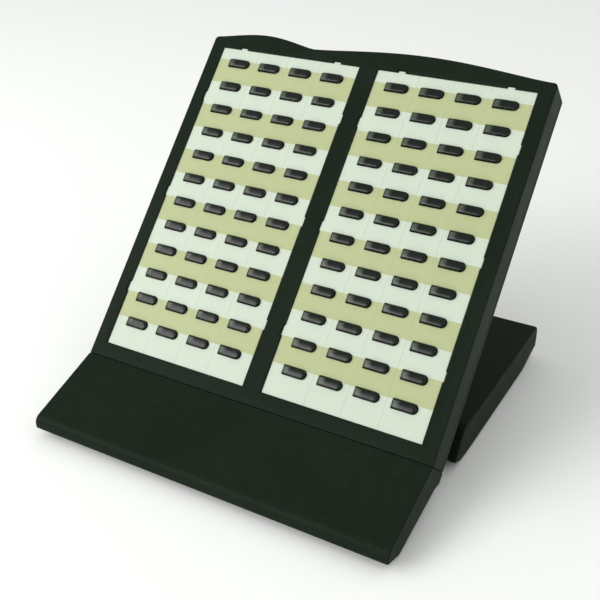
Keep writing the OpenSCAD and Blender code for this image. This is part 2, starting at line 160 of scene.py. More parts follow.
# ---- Front cover ----
# The front half of the case, injection moulded in matt black ABS. Its top edge runs in a short hump
# and a long arch. Two shallow windows take the label sheets, and ninety-six holes let the keys through.

mm = 0.001
tilt = math.radians(46.5)
cover_depth = 14.0
cover_low, cover_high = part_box("front_cover")
crease_y = cover_low.y / mm
crease_z = cover_low.z / mm + cover_depth * math.cos(tilt)
case_frame = Matrix.Translation((0, crease_y * mm, crease_z * mm)) @ Matrix.Rotation(tilt, 4, "X")

case_half = cover_high.x / mm
case_height = 186.3
corner_r = 2.0
hump = (-94.4, -35.0, 4.1)
arch = (-35.0, 92.4, 4.5)
face_edge = 1.3
seam_edge = 0.18
wall = 2.2
panel_top = -1.1
panel_bottom = -3.2

mullion = 10.5
window_w = 83.2
window_h = 172.4
window_x = (mullion + window_w) / 2
window_low = 7.6
window_flare = 0.3
window_tab = (2.1, 1.1)
window_catch = (2.8, 0.9)
catch_rows = (9.7, 5.7, 1.55)

key_rows = 12
pitch_x = 19.0
pitch_y = 13.65
top_row_y = 171.5
key_w = 12.3
key_h = 4.3
key_gap = 0.3
key_columns = [(column - 1.5) * pitch_x for column in range(4)]

jack_y = 9.8
jack_z = -8.4
jack_mouth = (10.4, 7.4)


def swell(x, wave):
    """Height of one wave of the top edge above the corners of the case."""
    start, end, rise = wave
    if not start < x < end:
        return 0.0
    return rise * math.sin(math.pi * (x - start) / (end - start)) ** 1.25


def case_outline(gap=0.0, steps=60):
    """The case seen from its front, that far inside its outer faces."""
    side = case_half - gap
    foot = gap * 0.4
    ends = [i * math.pi / 10 for i in range(6)]
    right = [(side - corner_r + corner_r * math.cos(t), corner_r - corner_r * math.sin(t)) for t in ends]
    middle = [((side - corner_r) * (1 - 2 * i / steps), 0.0) for i in range(1, steps)]
    left = [(-x, drop) for x, drop in reversed(right)]
    top = [(x, case_height + swell(x, hump) + swell(x, arch) - gap - drop)
           for x, drop in right + middle + left]
    return [Vector(p) for p in [(-side, foot), (side, foot)] + top]


def inset(outline, gap):
    """An outline moved inwards by gap, with its corners kept; it runs against the clock."""
    moved = []
    for before, here, after in zip(outline[-1:] + outline[:-1], outline, outline[1:] + outline[:1]):
        first = (here - before).normalized()
        second = (after - here).normalized()
        lean = Vector((-first.y - second.y, first.x + second.x)).normalized()
        moved.append(here + lean * gap / max(0.3, lean.dot(Vector((-first.y, first.x)))))
    return moved


def slab(outline_at, low, high, low_edge=0.0, high_edge=0.0, steps=4):
    """Rings of a slab with rounded edges; outline_at(gap) is its outline, that far inside its sides."""
    turns = [math.pi / 2 * i / steps for i in range(steps + 1)]
    stack = [(0.0, low)]
    if low_edge:
        stack = [(low_edge * (1 - math.sin(t)), low + low_edge * (1 - math.cos(t))) for t in turns]
    if high_edge:
        stack += [(high_edge * (1 - math.cos(t)), high - high_edge * (1 - math.sin(t))) for t in turns]
    else:
        stack.append((0.0, high))
    return [[Vector((p.x, p.y, z)) for p in outline_at(gap)] for gap, z in stack]


def box_outline(x0, x1, y0, y1):
    """A rectangle, against the clock."""
    return [Vector(p) for p in ((x0, y0), (x1, y0), (x1, y1), (x0, y1))]


def solid(name, stacks, place=Matrix.Identity(4)):
    """A piece from stacks of rings in millimetres: each stack is skinned and closed at both ends."""
    shape = bmesh.new()
    for rings in stacks:
        loops = [[shape.verts.new(p * mm) for p in ring] for ring in rings]
        for low, high in zip(loops, loops[1:]):
            for i in range(len(low)):
                shape.faces.new((low[i - 1], low[i], high[i], high[i - 1]))
        shape.faces.new(reversed(loops[0]))
        shape.faces.new(loops[-1])
    bmesh.ops.recalc_face_normals(shape, faces=shape.faces)
    mesh = bpy.data.meshes.new(name)
    shape.to_mesh(mesh)
    shape.free()
    piece = bpy.data.objects.new(name, mesh)
    bpy.context.scene.collection.objects.link(piece)
    piece.matrix_world = place
    return piece


def carve(piece, stacks, way="DIFFERENCE"):
    """Cuts stacks of rings out of a piece, or joins them to it with way UNION."""
    tool = solid("tool", stacks, piece.matrix_world)
    cut = piece.modifiers.new("cut", "BOOLEAN")
    cut.operation = way
    cut.solver = "EXACT"
    cut.object = tool
    bpy.context.view_layer.update()
    done = bpy.data.meshes.new_from_object(piece.evaluated_get(bpy.context.evaluated_depsgraph_get()))
    piece.modifiers.clear()
    piece.data = done
    bpy.data.objects.remove(tool)


def settle(piece, material, body, slot, *nodes, angle=35):
    """Smooths what is round, keeps what is sharp, and puts the finished piece on its body."""
    if angle:
        piece.data.shade_smooth()
        piece.data.set_sharp_from_angle(angle=math.radians(angle))
        weighted = piece.modifiers.new("weighted", "WEIGHTED_NORMAL")
        weighted.keep_sharp = True
    piece.data.materials.clear()
    piece.data.materials.append(material)
    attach(piece, body)
    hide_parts(*nodes)


def window_outline(side, gap, tab_w, tab_h, catch_h, catch_w):
    """A window or its sheet, with the small tabs on top and the catches down both sides."""
    half = window_w / 2 - gap
    low = window_low + gap
    high = window_low + window_h - gap
    catches = [top_row_y - row * pitch_y for row in catch_rows]
    reach = window_w / 2 + catch_w
    right = [(x, y + dy) for y in catches
             for x, dy in ((half, -catch_h), (reach, -catch_h), (reach, catch_h), (half, catch_h))]
    left = [(-x, y) for x, y in reversed(right)]
    tab_top = window_low + window_h + tab_h
    tabs = [(x + dx, y) for x in (1.5 * pitch_x, -1.5 * pitch_x)
            for dx, y in ((tab_w, high), (tab_w, tab_top), (-tab_w, tab_top), (-tab_w, high))]
    points = [(-half, low), (half, low)] + right + [(half, high)] + tabs + [(-half, high)] + left
    return [Vector((side * window_x + x, y)) for x, y in points]


def cap_outline(grow=0.0, places=5):
    """A key cap from above: its left end is flat, its right end half round."""
    half = key_h / 2 + grow
    left = -key_w / 2 - grow
    right = (key_w - key_h) / 2
    corner = min(0.5, 0.8 * half)
    turns = [math.pi / 2 * i / 3 for i in range(4)]
    low_left = [(left + corner - corner * math.cos(t), -half + corner - corner * math.sin(t)) for t in turns]
    start = left + corner
    low_side = [(start + (right - start) * i / places, -half) for i in range(1, places)]
    half_turn = [math.pi * i / 12 for i in range(13)]
    round_end = [(right + half * math.sin(t), -half * math.cos(t)) for t in half_turn]
    upper = [(x, -y) for x, y in reversed(low_left + low_side)]
    return [Vector(p) for p in low_left + low_side + round_end + upper]


def key_holes(sides, grow, low, high):
    """Stacks that cut the key holes of the fields on these sides."""
    outline = cap_outline(grow, places=1)
    middles = [Vector((side * window_x + x, top_row_y - row * pitch_y))
               for side in sides for row in range(key_rows) for x in key_columns]
    return [slab(lambda gap: [p + middle for p in outline], low, high) for middle in middles]


def skin_group():
    """Moulded plastic: a fine spark-eroded grain, a faint cloudiness and edges rubbed a little paler."""
    tree = bpy.data.node_groups.new("moulded_skin", "ShaderNodeTree")
    for name, kind in (("Colour", "Color"), ("Rubbed Colour", "Color"), ("Grain Scale", "Float"),
                       ("Roughness", "Float"), ("Roughness Spread", "Float")):
        tree.interface.new_socket(name, in_out="INPUT", socket_type="NodeSocket" + kind)
    for name, kind in (("Colour", "Color"), ("Roughness", "Float"), ("Height", "Float")):
        tree.interface.new_socket(name, in_out="OUTPUT", socket_type="NodeSocket" + kind)
    given = tree.nodes.new("NodeGroupInput").outputs
    place = add(tree, "TexCoord").outputs["Object"]
    smear = noise(tree, place, 140.0, 3.0, 0.6)
    edges = add(tree, "NewGeometry").outputs["Pointiness"]
    worn = add(tree, "MapRange", {"Value": edges, "From Min": 0.505, "From Max": 0.6, "To Max": 0.6})
    patchy = add(tree, "Math", {0: worn.outputs[0], 1: smear}, operation="MULTIPLY")
    shade = add(tree, "MapRange", {"Value": noise(tree, place, 22.0, 4.0), "From Min": 0.3,
                                   "From Max": 0.7, "To Min": 0.86, "To Max": 1.14})
    speck = add(tree, "MapRange", {"Value": noise(tree, place, 950.0, 3.0), "From Min": 0.35,
                                   "From Max": 0.65, "To Min": 0.82, "To Max": 1.18})
    both = add(tree, "Math", {0: shade.outputs[0], 1: speck.outputs[0]}, operation="MULTIPLY")
    tinted = add(tree, "VectorMath", {0: given["Colour"], "Scale": both.outputs[0]}, operation="SCALE")
    colour = mix_colours(tree, patchy.outputs[0], tinted.outputs[0], given["Rubbed Colour"])
    offset = add(tree, "Math", {0: smear, 1: 0.5}, operation="SUBTRACT")
    rough = add(tree, "Math", {0: offset.outputs[0], 1: given["Roughness Spread"], 2: given["Roughness"]},
                operation="MULTIPLY_ADD")
    result = tree.nodes.new("NodeGroupOutput")
    tree.links.new(colour, result.inputs["Colour"])
    tree.links.new(rough.outputs[0], result.inputs["Roughness"])
    tree.links.new(noise(tree, place, given["Grain Scale"], 2.0), result.inputs["Height"])
    return tree


moulded_skin = skin_group()


def moulded(name, colour, rubbed, roughness, grain=1900.0, spread=0.18, depth=0.00003, ior=1.1):
    """A moulded plastic or rubber finish made with the skin group."""
    material, shader = new_material(name, {"IOR": ior})
    tree = material.node_tree
    skin = add(tree, "Group", node_tree=moulded_skin)
    for socket, value in (("Colour", colour), ("Rubbed Colour", rubbed), ("Grain Scale", grain),
                          ("Roughness", roughness), ("Roughness Spread", spread)):
        skin.inputs[socket].default_value = value
    surface(tree, shader, skin.outputs["Colour"], skin.outputs["Roughness"], skin.outputs["Height"],
            0.6, depth)
    return material


case_plastic = moulded("case_plastic", srgb(24, 33, 24), srgb(46, 56, 44), 0.4)

front_cover = solid("front_cover_moulding",
                    [slab(case_outline, -cover_depth, 0, seam_edge, face_edge)], case_frame)
windows = [window_outline(side, 0.0, *window_tab, *window_catch) for side in (-1, 1)]
carve(front_cover, [
    [[Vector((p.x, p.y, z)) for p in inset(window, -flare)]
     for flare, z in ((0, panel_top), (0, -window_flare), (window_flare, 0), (window_flare, 1))]
    for window in windows
])
carve(front_cover, [slab(lambda gap: case_outline(wall), -cover_depth - 1, panel_bottom)])
carve(front_cover, key_holes((-1, 1), key_gap, panel_bottom - 0.5, panel_top + 0.5))
mouth_outline = box_outline(-case_half - 1, -case_half + wall + 1,
                            jack_y - jack_mouth[0] / 2, jack_y + jack_mouth[0] / 2)
carve(front_cover, [slab(lambda gap: mouth_outline, jack_z - jack_mouth[1] / 2, jack_z + jack_mouth[1] / 2)])
settle(front_cover, case_plastic, "console", "case_plastic", "front_cover")


# ---- Label sheets ----
# Two sheets of card under the keys' tops, printed with pale and buff bands, one band to a row of keys,
# and with hairlines between the columns. Small tabs at the top and sides hold them in the windows.

card_t = 0.24
card_low = panel_top + 0.03
sheet_tab = (1.75, 0.8)
sheet_catch_h = 2.5
sheet_key_gap = 0.4
band_top = top_row_y + 1.9
rule_w = 0.285
rule_shift = 0.38


def printed_card():
    """Banded card: every second row is buff, and a hairline runs between each two columns."""
    material, shader = new_material("printed_card", {"Specular IOR Level": 0.3})
    tree = material.node_tree
    place = add(tree, "TexCoord").outputs["Object"]
    axes = add(tree, "SeparateXYZ", {0: place})

    def count(value, way, second, third=0.0):
        return add(tree, "Math", {0: value, 1: second, 2: third}, operation=way).outputs[0]

    rows_down = count(axes.outputs[1], "MULTIPLY_ADD", -1 / (pitch_y * mm), band_top / pitch_y)
    on_band = count(count(rows_down, "MULTIPLY", 0.5), "FRACT", 0.0)
    in_rows = count(count(rows_down, "SUBTRACT", key_rows / 2), "ABSOLUTE", 0.0)
    buff = count(count(on_band, "LESS_THAN", 0.5), "MULTIPLY", count(in_rows, "LESS_THAN", key_rows / 2))
    from_middle = count(count(axes.outputs[0], "ABSOLUTE", 0.0), "SUBTRACT", window_x * mm)
    signed = count(from_middle, "MULTIPLY", count(axes.outputs[0], "SIGN", 0.0))
    across = count(signed, "MULTIPLY_ADD", 1 / (pitch_x * mm), -rule_shift / pitch_x)
    nearest = count(across, "ROUND", 0.0)
    away = count(count(across, "SUBTRACT", nearest), "ABSOLUTE", 0.0)
    hairline = count(count(away, "LESS_THAN", rule_w / 2 / pitch_x), "MULTIPLY",
                     count(count(nearest, "ABSOLUTE", 0.0), "LESS_THAN", 1.5))
    fibres = noise(tree, place, 900.0, 4.0)
    ageing = noise(tree, place, 16.0, 3.0)
    pale = mix_colours(tree, ageing, srgb(190, 200, 183), srgb(198, 208, 191))
    tan = mix_colours(tree, ageing, srgb(164, 171, 112), srgb(172, 178, 122))
    bands = mix_colours(tree, buff, pale, tan)
    ruled = mix_colours(tree, count(hairline, "MULTIPLY", 0.4), bands, srgb(120, 128, 116))
    mottled = mix_colours(tree, count(fibres, "MULTIPLY", 0.08), ruled, srgb(225, 228, 216))
    rough = add(tree, "MapRange", {"Value": fibres, "To Min": 0.55, "To Max": 0.75})
    surface(tree, shader, mottled, rough.outputs[0], fibres, 0.4, 0.00002)
    return material


label_paper = printed_card()
for side, name in ((-1, "left"), (1, "right")):
    card_outline = window_outline(side, 0.2, *sheet_tab, sheet_catch_h, 0.2)
    card_stack = slab(lambda gap: card_outline, card_low, card_low + card_t)
    card = solid(f"label_card_{name}", [card_stack], case_frame)
    carve(card, key_holes((side,), sheet_key_gap, panel_top - 0.5, panel_top + card_t + 0.5))
    settle(card, label_paper, "console", "label_paper", f"label_sheet_{name}", angle=0)


# ---- Sheet covers ----
# Thin clear sheets of PVC that lie over the printed cards, with the same tabs, to keep fingers off the print.

film_t = 0.4
film_gap = 0.04
film_low = panel_top + card_t + film_gap


def clear_film():
    """Clear plastic that shows mainly through its gloss, rubbed dull in patches."""
    material, shader = new_material("clear_film", {"Alpha": 0.05, "Base Color": srgb(236, 244, 238)})
    tree = material.node_tree
    rubbing = noise(tree, add(tree, "TexCoord").outputs["Object"], 60.0, 6.0, 1.0)
    rough = add(tree, "MapRange", {"Value": rubbing, "To Min": 0.12, "To Max": 0.34})
    bump = add(tree, "Bump", {"Height": rubbing, "Strength": 0.2, "Distance": 0.0001})
    tree.links.new(rough.outputs[0], shader.inputs["Roughness"])
    tree.links.new(bump.outputs[0], shader.inputs["Normal"])
    return material


clear_sheet = clear_film()
for side, name in ((-1, "left"), (1, "right")):
    film_outline = window_outline(side, 0.15, *sheet_tab, sheet_catch_h, 0.6)
    film_stack = slab(lambda gap: inset(film_outline, gap), film_low, film_low + film_t,
                      high_edge=0.12, steps=2)
    film = solid(f"clear_film_{name}", [film_stack], case_frame)
    carve(film, key_holes((side,), sheet_key_gap, film_low - 0.5, film_low + film_t + 0.5))
    settle(film, clear_sheet, "console", "clear_sheet", f"sheet_cover_{name}", angle=0)


# ---- Key rows ----
# Four glossy black key caps to a row and field, moulded in smoky plastic, each with a flange under the
# panel that keeps it in. The left end of a cap slopes down over its lamp, the rest is gently crowned.

key_proud = 0.6
cap_edge = 0.4
flange_low = -4.4
flange_high = -3.6
flange_w = 0.7
slope_from = -2.7
slope = 0.12
crown = 0.16


def cap_rings(x):
    """Rings of one cap, from its flange up to the ridge of its crown."""
    turns = [math.pi / 2 * i / 3 for i in range(4)]
    stack = [(flange_w, flange_low), (flange_w, flange_high), (0.0, flange_high)]
    stack += [(-cap_edge * (1 - math.cos(t)), key_proud - cap_edge * (1 - math.sin(t))) for t in turns]
    for grow in (-0.8, -1.3, -1.8, -key_h / 2 + 0.1):
        stack.append((grow, key_proud + crown * (1 - (1 + 2 * grow / key_h) ** 2)))
    rings = []
    for grow, z in stack:
        dip = slope if z > 0 else 0.0
        outline = cap_outline(grow, 7)
        rings.append([Vector((p.x + x, p.y, z - dip * max(0.0, slope_from - p.x))) for p in outline])
    return rings


key_plastic = moulded("key_plastic", srgb(11, 18, 10), srgb(30, 38, 28), 0.22, grain=2600.0, spread=0.2,
                      depth=0.00001, ior=1.32)


def painted_key_highlight(material, highlight_colour):
    """Paints a highlight on the sloped left end of every cap: a paler colour mixed into the base colour
    stands in for light glinting there.
    """
    tree = material.node_tree
    shader = next(node for node in tree.nodes if node.type == "BSDF_PRINCIPLED")
    axes = add(tree, "SeparateXYZ", {0: add(tree, "TexCoord").outputs["Object"]})
    columns = add(tree, "Math", {0: axes.outputs[0], 1: 1 / (pitch_x * mm)}, operation="MULTIPLY")
    column = add(tree, "Math", {0: columns.outputs[0]}, operation="FRACT")
    height = add(tree, "Math", {0: axes.outputs[1]}, operation="ABSOLUTE")
    # The mask is 1 near the left end of each cap and within 1.2 mm of its centre line, and fades out round
    # that; the painted highlight is mixed in there.
    highlight_mask = 1.0
    for value, unit, dark, clear in ((column, 1 / pitch_x, -2.0, -3.8), (column, 1 / pitch_x, -5.9, -5.2),
                                     (height, mm, 1.9, 1.2)):
        middle = 0.5 if value is column else 0.0
        edge = add(tree, "MapRange", {"Value": value.outputs[0], "From Min": middle + dark * unit,
                                      "From Max": middle + clear * unit})
        highlight_mask = add(tree, "Math", {0: edge.outputs[0], 1: highlight_mask}, operation="MULTIPLY").outputs[0]
    plain = shader.inputs["Base Color"].links[0].from_socket
    tree.links.new(mix_colours(tree, highlight_mask, plain, highlight_colour), shader.inputs["Base Color"])


# Painted highlight: a pale grey-green is mixed into the key plastic at the left end of each cap, in place of
# a glint of light.
painted_key_highlight(key_plastic, srgb(66, 75, 62))
for side, name in ((-1, "left"), (1, "right")):
    for row in range(key_rows):
        row_middle = Vector((side * window_x, top_row_y - row * pitch_y, 0))
        row_place = case_frame @ Matrix.Translation(row_middle * mm)
        node_name = f"key_row_{name}_{row + 1:02d}"
        caps = solid(f"key_caps_{name}_{row + 1:02d}", [cap_rings(x) for x in key_columns], row_place)
        settle(caps, key_plastic, node_name, "key_plastic", node_name)


# ---- Keypads ----
# Two mats of grey silicone rubber, one behind each field, with a sprung dome under every key and a hole
# for every lamp. They lie loose between the key boards and the panel.

def coat(material, *names):
    """Gives CAD nodes whose shape stays their finish."""
    for name in names:
        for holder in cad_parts[name].material_slots:
            holder.material = material


coat(moulded("keypad_rubber", srgb(116, 121, 118), srgb(140, 144, 141), 0.7), "keypad_left", "keypad_right")


# ---- Lamps ----
# Ninety-six small lamps in pale epoxy, soldered to the key boards. Each stands in its hole in the keypad
# and lights the left end of one key cap from below.

coat(moulded("lamp_plastic", srgb(226, 212, 168), srgb(240, 232, 200), 0.3, ior=1.45),
     "lamps_left", "lamps_right")


# ---- Key boards ----
# A board of green glass laminate behind each keypad. It carries the contacts of the keys, the lamps
# and two driver chips in black resin that light them.

def board_finish():
    """Green solder mask over thin copper tracks."""
    material, shader = new_material("circuit_board", {"Specular IOR Level": 0.5})
    tree = material.node_tree
    place = add(tree, "TexCoord").outputs["Object"]
    tracks = add(tree, "TexBrick", {"Vector": place, "Scale": 90.0, "Mortar Size": 0.05,
                                    "Color1": srgb(28, 92, 48), "Color2": srgb(24, 82, 44),
                                    "Mortar": srgb(52, 124, 66)})
    rough = add(tree, "MapRange", {"Value": noise(tree, place, 700.0, 2.0), "To Min": 0.25, "To Max": 0.45})
    surface(tree, shader, tracks.outputs["Color"], rough.outputs[0], tracks.outputs["Fac"], 0.3, 0.00004)
    return material


circuit_board = board_finish()
chip_resin = moulded("chip_resin", srgb(30, 31, 33), srgb(62, 63, 65), 0.5)
coat(circuit_board, "key_board_left", "key_board_right")
coat(chip_resin, "driver_chips")


# ---- Control board ----
# A third board in the foot of the case, under the key boards. It holds the processor in black resin,
# its crystal in a nickel-plated can and three capacitors in blue sleeves.

def metal(name, colour, tarnish, low, high, scale=260.0):
    """Bare or plated metal, unevenly polished, and a little duller in patches."""
    material, shader = new_material(name, {"Metallic": 1.0})
    tree = material.node_tree
    place = add(tree, "TexCoord").outputs["Object"]
    patches = noise(tree, place, scale, 4.0)
    rough = add(tree, "MapRange", {"Value": patches, "To Min": low, "To Max": high})
    colours = mix_colours(tree, patches, colour, tarnish)
    surface(tree, shader, colours, rough.outputs[0], noise(tree, place, scale * 9, 2.0), 0.4, 0.00002)
    return material


coat(circuit_board, "control_board")
coat(chip_resin, "processor_chip")
coat(metal("crystal_can", srgb(190, 192, 194), srgb(150, 152, 154), 0.2, 0.35), "crystal")
coat(moulded("capacitor_sleeve", srgb(36, 44, 74), srgb(66, 74, 104), 0.35, ior=1.45), "capacitors")


# ---- Line jack ----
# A black modular jack soldered to the control board. It opens to the left through the case's side
# and has six sprung wires, plated with gold, in its roof.

wire_line = ((-82.4, -5.2), (-84.0, -5.3), (-90.6, -8.2), (-91.1, -8.0), (-90.5, -7.8), (-84.0, -5.0),
             (-82.4, -4.95))
wire_w = 0.4
wire_pitch = 1.02

coat(moulded("black_moulding", srgb(18, 19, 20), srgb(52, 54, 55), 0.42, grain=2200.0), "line_jack")
gold_wire = metal("gold_wire", srgb(212, 176, 96), srgb(178, 140, 72), 0.2, 0.36)
wire_starts = [jack_y + (wire - 2.5) * wire_pitch - wire_w / 2 for wire in range(6)]
jack_wires = solid("jack_wires", [[[Vector((x, y, z)) for x, z in wire_line] for y in (start, start + wire_w)]
                                  for start in wire_starts], case_frame)
settle(jack_wires, gold_wire, "console", "pin_steel")


# ---- Board cables ----
# Two flat cables in grey PVC that join the control board to the key boards, with a connector of
# cream nylon soldered to the boards at each end.

coat(moulded("connector_plastic", srgb(222, 216, 200), srgb(236, 232, 220), 0.45, ior=1.4),
     "board_connectors")
coat(moulded("flat_cable", srgb(192, 196, 202), srgb(214, 217, 221), 0.4, ior=1.4), "board_cables")


# ---- Board screws ----
# Small pan-head screws of blackened steel that hold the three boards to posts in the case.
# They show only when the case is open.

screw_steel = metal("screw_steel", srgb(88, 90, 92), srgb(52, 53, 54), 0.28, 0.5)
coat(screw_steel, "board_screws")


# ---- Rear cover ----
# The back half of the case, moulded in the same plastic. Six screws in sunk seats pull it to the front.
# Two pairs of round ears stand on its lower part and take the hinge pins of the stand.

case_depth = 18.2
hinge_y = -28.0
hinge_z = 12.0
reach_y = hinge_y - crease_y
reach_z = hinge_z - crease_z
axis_y = reach_y * math.cos(tilt) + reach_z * math.sin(tilt)
axis_z = reach_z * math.cos(tilt) - reach_y * math.sin(tilt)
back_edge = 1.4
ear_r = 6.0
ear_places = ((-82.0, -77.0), (-61.0, -56.0), (56.0, 61.0), (77.0, 82.0))
pin_r = 2.5
seat_r = 3.1
seat_z = -15.9
seat_flare = 0.5
shank_hole_r = 1.7
case_screws = ((-90.4, 178.0), (90.4, 178.0), (0.0, 132.0), (0.0, 50.0), (-90.4, 26.0), (90.4, 26.0))


def circle(x, y, radius, steps=32):
    """A full circle, against the clock."""
    turns = [2 * math.pi * i / steps for i in range(steps)]
    return [Vector((x + radius * math.cos(t), y + radius * math.sin(t))) for t in turns]


def along_x(rings):
    """Rings drawn in Y and Z, and stacked along X."""
    return [[Vector((p.z, p.x, p.y)) for p in ring] for ring in rings]


def bar(outline, x0, x1, edge=0.0):
    """A bar along X with this outline in Y and Z, and rounded edges at both ends."""
    return along_x(slab(lambda gap: inset(outline, gap), x0, x1, edge, edge))


def arc(x, y, radius, start, end, steps):
    """An arc from one angle to another, in degrees."""
    turns = [math.radians(start + (end - start) * i / steps) for i in range(steps + 1)]
    return [Vector((x + radius * math.cos(t), y + radius * math.sin(t))) for t in turns]


back_plastic = moulded("back_plastic", srgb(26, 33, 25), srgb(42, 50, 41), 0.48, grain=1300.0, depth=0.00005)
rear_cover = solid("rear_cover_moulding",
                   [slab(case_outline, -case_depth, -cover_depth, back_edge, seam_edge)], case_frame)
ear_outline = [Vector((axis_y - ear_r, -case_depth + 1))] + arc(axis_y, axis_z, ear_r, 180, 345, 14) + [
    Vector((axis_y + ear_r + 6, -case_depth + 1))]
carve(rear_cover, [bar(ear_outline, x0, x1, 0.6) for x0, x1 in ear_places], "UNION")
carve(rear_cover, [slab(lambda gap: case_outline(wall), -case_depth + wall, -cover_depth + 1)])
carve(rear_cover, [bar(circle(axis_y, axis_z, pin_r + 0.06), -case_half, case_half)])
seat_steps = ((seat_r + seat_flare, -case_depth - 1), (seat_r + seat_flare, -case_depth),
              (seat_r, -case_depth + seat_flare), (seat_r, seat_z),
              (shank_hole_r, seat_z), (shank_hole_r, -12.0))
carve(rear_cover, [[[Vector((p.x, p.y, z)) for p in circle(x, y, r)] for r, z in seat_steps]
                   for x, y in case_screws])
rear_cover.data.transform(case_frame)
rear_cover.matrix_world = Matrix.Identity(4)
settle(rear_cover, back_plastic, "console", "back_plastic", "rear_cover")


# ---- Hand rest ----
# A hollow wedge moulded in the case's plastic, screwed to the foot of the case from inside. Its front edge
# is well rounded, and its underside rises from a low ridge at the front towards the case.

def rounded(corners, steps=5):
    """An outline from corners (x, y, radius), each rounded by its own radius."""
    points = []
    for i, (x, y, radius) in enumerate(corners):
        here = Vector((x, y))
        back = (Vector(corners[i - 1][:2]) - here).normalized()
        ahead = (Vector(corners[(i + 1) % len(corners)][:2]) - here).normalized()
        half = back.angle(ahead) / 2
        centre = here + (back + ahead).normalized() * radius / math.sin(half)
        start = here + back * radius / math.tan(half) - centre
        end = here + ahead * radius / math.tan(half) - centre
        points += [centre + start.lerp(end, k / steps).normalized() * radius for k in range(steps + 1)]
    return points


def on_desk(y, z):
    """A point of the case's own frame, as Y and Z over the desk."""
    return Vector((crease_y + y * math.cos(tilt) - z * math.sin(tilt),
                   crease_z + y * math.sin(tilt) + z * math.cos(tilt)))


front_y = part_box("hand_rest")[0].y / mm
rest_slope = math.tan(math.radians(19))
under_slope = math.tan(math.radians(13.5))
ridge_y = front_y + 10.6
ridge_z = 1.2
corner_z = 4.8
nose_r = 4.5
rest_wall = 2.4
rest_edge = 0.9


def top_z(y):
    """Height of the hand rest's upper face over the desk."""
    return crease_z + (y - crease_y) * rest_slope


def under_z(y):
    """Height of its underside over the desk."""
    return ridge_z + (y - ridge_y) * under_slope


lip = on_desk(-8.5, -14)
rest_outline = rounded([
    (*on_desk(0, -case_depth), 1.2), (*on_desk(0, 0), 1.3), (front_y, top_z(front_y), nose_r),
    (front_y, corner_z, 1.3), (ridge_y, ridge_z, 1.3), (*lip, 1.3), (*on_desk(-5.5, -case_depth), 1.2),
], steps=6)
hand_rest = solid("hand_rest_moulding", [bar(rest_outline, -case_half, case_half, rest_edge)])
roof = rest_wall * math.hypot(1, rest_slope)
inner_front = front_y + rest_wall + 0.6
inner_back = on_desk(-rest_wall, -3.4)
base_y0 = ridge_y + 2.6
base_y1 = lip.x - 2.6
hollow = [
    inner_back, Vector((inner_back.x - 4, top_z(inner_back.x - 4) - roof)),
    Vector((inner_front + 2, top_z(inner_front + 2) - roof)),
    Vector((inner_front, top_z(front_y + nose_r) - nose_r * math.hypot(1, rest_slope))),
    Vector((inner_front, corner_z + 2.2)), Vector((base_y0, ridge_z + 3)), Vector((base_y0, -2)),
    Vector((base_y1, -2)), Vector((base_y1, under_z(base_y1) + 2.6)), on_desk(-rest_wall, -14),
]
carve(hand_rest, [bar(hollow, -case_half + rest_wall, case_half - rest_wall)])
settle(hand_rest, case_plastic, "console", "case_plastic", "hand_rest")


# ---- Hand rest base ----
# A moulded plate that closes the hand rest from below and follows its slope. It is held by four screws
# in chamfered holes, and its front edge is bevelled to clear the wall of the hand rest.

plate_gap = 0.15
plate_bevel = 0.6
base_half = case_half - rest_wall - plate_gap
base_front = base_y0 + plate_gap
base_back = base_y1 - plate_gap
rest_screws = (-72.0, -24.0, 24.0, 72.0)
rest_screw_y = -60.0
rest_screw_place = [Matrix.Translation((x, rest_screw_y, under_z(rest_screw_y)))
                    @ Matrix.Rotation(math.atan(under_slope), 4, "X") for x in rest_screws]


def moved(rings, place):
    """Rings carried to another place."""
    return [[place @ p for p in ring] for ring in rings]


def sunk_hole(x, y, low, high, flare=0.5):
    """A screw's clearance hole with a small chamfer at its lower mouth."""
    mouth_r = shank_hole_r + flare
    steps = ((mouth_r, low - 1), (mouth_r, low), (shank_hole_r, low + flare), (shank_hole_r, high + 1))
    return [[Vector((q.x, q.y, z)) for q in circle(x, y, r)] for r, z in steps]


base_outline = [Vector((y, under_z(y) + rise)) for y, rise in (
    (base_front, 0.0), (base_back, 0.0), (base_back, wall), (base_front + plate_bevel, wall),
    (base_front, wall - plate_bevel))]
rest_base = solid("hand_rest_plate", [bar(base_outline, -base_half, base_half, 0.3)])
carve(rest_base, [moved(sunk_hole(0, 0, 0, wall + 1, 0.4), place) for place in rest_screw_place])
settle(rest_base, back_plastic, "console", "back_plastic", "hand_rest_base")


# ---- Stand ----
# A hollow moulded shell as wide as the case. Its front face leans with the case, and two arms on it
# hold the hinge pins, so that the console folds down on it or leans up for use.

stand_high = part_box("stand_shell")[1]
stand_half = stand_high.x / mm
back_y = stand_high.y / mm
stand_top = stand_high.z / mm
stand_bottom = 1.4
stand_edge = 0.9
knuckle_r = 5.5
arm_places = ((-75.8, -62.2), (62.2, 75.8))
stand_outline = rounded([
    (-12.1, stand_top, 5.0), (-22.3, 5.2, 1.4), (-15.5, 2.0, 1.2), (-8.0, stand_bottom, 1.2),
    (back_y - 22, stand_bottom, 1.2), (back_y - 0.7, 6.2, 1.2), (back_y, 11.0, 1.2), (back_y, stand_top, 4.0),
], steps=6)
arm_root = ((hinge_y + 13, hinge_z - knuckle_r), (hinge_y + 20, stand_top - 1), (hinge_y + 17, stand_top - 1))
arm_outline = arc(hinge_y, hinge_z, knuckle_r, 90, 270, 12) + [Vector(p) for p in arm_root]

